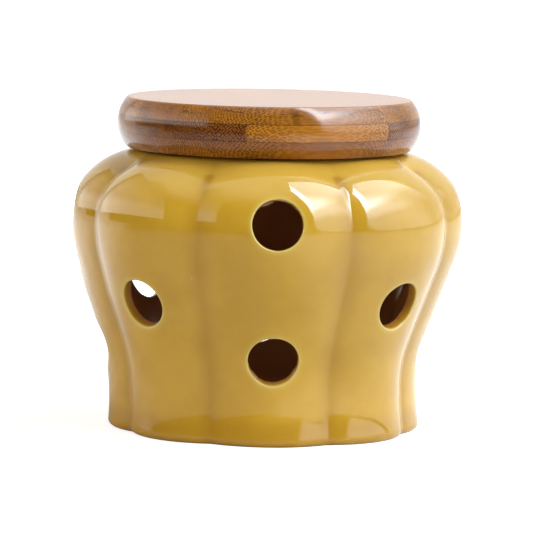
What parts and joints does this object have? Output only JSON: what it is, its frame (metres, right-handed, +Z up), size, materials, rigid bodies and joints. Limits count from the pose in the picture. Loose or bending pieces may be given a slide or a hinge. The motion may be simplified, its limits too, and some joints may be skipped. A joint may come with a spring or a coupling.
{
  "type": "garlic keeper",
  "caption": "Lobed glazed ceramic pot with round vent holes, a narrow waist and a thick round laminated bamboo lid that lifts off and turns.",
  "frame": {"origin": "centre of the foot, on the surface that the pot stands on", "axes": "+Z up along the pot's axis, -Y towards the lobe with two vents that faces the viewer, +X to that viewer's right"},
  "size_m": [0.1296, 0.1296, 0.1101],
  "materials": {
    "glaze": "glossy mustard yellow glaze",
    "bamboo_top": "oiled carbonised bamboo, satin",
    "bamboo_middle": "oiled carbonised bamboo, satin",
    "bamboo_bottom": "oiled carbonised bamboo, satin",
    "bamboo_plug": "oiled carbonised bamboo, satin",
    "silicone": "translucent white silicone"
  },
  "bodies": {
    "pot": {"pot": "glaze"},
    "seal": {"seal_ring": "silicone"},
    "lid": {"lid_bottom_strip_1": "bamboo_bottom", "lid_bottom_strip_2": "bamboo_bottom", "lid_bottom_strip_3": "bamboo_bottom", "lid_bottom_strip_4": "bamboo_bottom", "lid_bottom_strip_5": "bamboo_bottom", "lid_bottom_strip_6": "bamboo_bottom", "lid_middle_strip_1": "bamboo_middle", "lid_middle_strip_2": "bamboo_middle", "lid_middle_strip_3": "bamboo_middle", "lid_middle_strip_4": "bamboo_middle", "lid_middle_strip_5": "bamboo_middle", "lid_middle_strip_6": "bamboo_middle", "lid_middle_strip_7": "bamboo_middle", "lid_plug": "bamboo_plug", "lid_top_strip_1": "bamboo_top", "lid_top_strip_2": "bamboo_top", "lid_top_strip_3": "bamboo_top", "lid_top_strip_4": "bamboo_top", "lid_top_strip_5": "bamboo_top", "lid_top_strip_6": "bamboo_top", "lid_top_strip_7": "bamboo_top"}
  },
  "joints": [
    {"name": "lid_lift", "type": "slide", "parent": "pot", "child": "seal", "axis": [0, 0, 1], "range_m": [0, 0.04]},
    {"name": "lid_turn", "type": "hinge", "parent": "seal", "child": "lid", "pos_m": [0, 0, 0.0933], "axis": [0, 0, 1], "continuous": true}
  ]
}
